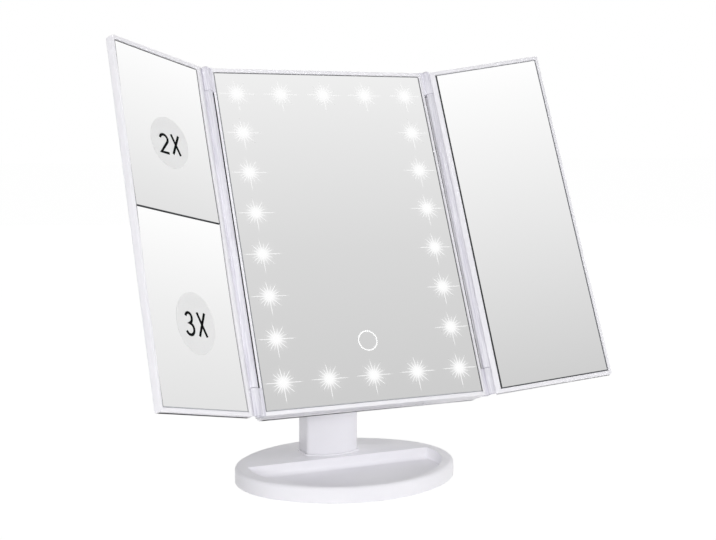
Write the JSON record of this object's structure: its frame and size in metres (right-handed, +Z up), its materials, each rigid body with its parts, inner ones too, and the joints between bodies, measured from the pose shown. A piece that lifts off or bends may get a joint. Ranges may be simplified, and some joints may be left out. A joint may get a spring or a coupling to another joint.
{
  "type": "trifold vanity mirror",
  "caption": "Table-top trifold mirror: lit centre mirror that tilts on a neck, two folding side mirrors, and a weighted oval foot with a shallow tray.",
  "frame": {"origin": "centre of the oval foot's underside, on the surface that the mirror stands on", "axes": "+X along the foot's width, to the right of a user who faces the mirror; -Y towards the user; +Z up"},
  "size_m": [0.3166, 0.1547, 0.2922],
  "materials": {
    "white_abs": "satin injection-moulded ABS, slightly cool white",
    "mirror_glass": "silvered float glass, polished",
    "foam_tape": "matt foam tape",
    "rubber_pad": "matt anti-slip rubber",
    "steel_plate": "zinc-plated steel sheet",
    "plated_steel": "nickel-plated steel",
    "black_nylon": "moulded nylon",
    "circuit_board": "green solder mask",
    "led_lens": "phosphor-filled silicone",
    "copper_pad": "copper foil on polyester",
    "cell_jacket": "printed-free shrink sleeve, semi-gloss"
  },
  "bodies": {
    "stand": {"base_shell": "white_abs", "base_cover": "white_abs", "base_pad": "rubber_pad", "base_weight": "steel_plate", "base_screws": "plated_steel", "neck_post": "white_abs", "neck_cover": "white_abs", "neck_cover_screws": "plated_steel", "neck_foot_screws": "plated_steel"},
    "head": {"tilt_bolt": "plated_steel", "tilt_nut": "plated_steel", "tilt_washers": "black_nylon", "tilt_caps": "white_abs", "centre_frame": "white_abs", "centre_glass": "mirror_glass", "centre_glass_tape": "foam_tape", "rear_housing": "white_abs", "housing_screws": "plated_steel", "led_board": "circuit_board", "led_chips": "led_lens", "touch_sensor": "copper_pad", "control_board": "circuit_board", "usb_socket": "plated_steel", "switch_body": "plated_steel", "battery_cells": "cell_jacket", "battery_contacts": "plated_steel", "left_hinge_pins": "plated_steel", "right_hinge_pins": "plated_steel"},
    "left_wing": {"left_wing_frame": "white_abs", "left_wing_back": "white_abs", "left_glass_2x": "mirror_glass", "left_glass_3x": "mirror_glass", "left_glass_tape": "foam_tape"},
    "right_wing": {"right_wing_frame": "white_abs", "right_wing_back": "white_abs", "right_glass": "mirror_glass", "right_glass_tape": "foam_tape"},
    "door": {"battery_door": "white_abs"},
    "switch": {"switch_knob": "black_nylon"}
  },
  "joints": [
    {"name": "head_tilt", "type": "hinge", "parent": "stand", "child": "head", "pos_m": [0, 0.028, 0.1579], "axis": [-1, 0, 0], "range_deg": [-25.5, 154.5]},
    {"name": "left_fold", "type": "hinge", "parent": "head", "child": "left_wing", "pos_m": [-0.0824, -0.0525, 0.06323], "axis": [0, 0.4305, 0.9026], "range_deg": [-30.5, 149.5]},
    {"name": "right_fold", "type": "hinge", "parent": "head", "child": "right_wing", "pos_m": [0.0824, -0.0525, 0.06323], "axis": [0, -0.4305, -0.9026], "range_deg": [-22, 158]},
    {"name": "door_slide", "type": "slide", "parent": "head", "child": "door", "axis": [0, 0.4305, 0.9026], "range_m": [0, 0.012]},
    {"name": "switch_slide", "type": "slide", "parent": "head", "child": "switch", "axis": [-1, 0, 0], "range_m": [0, 0.004]}
  ]
}
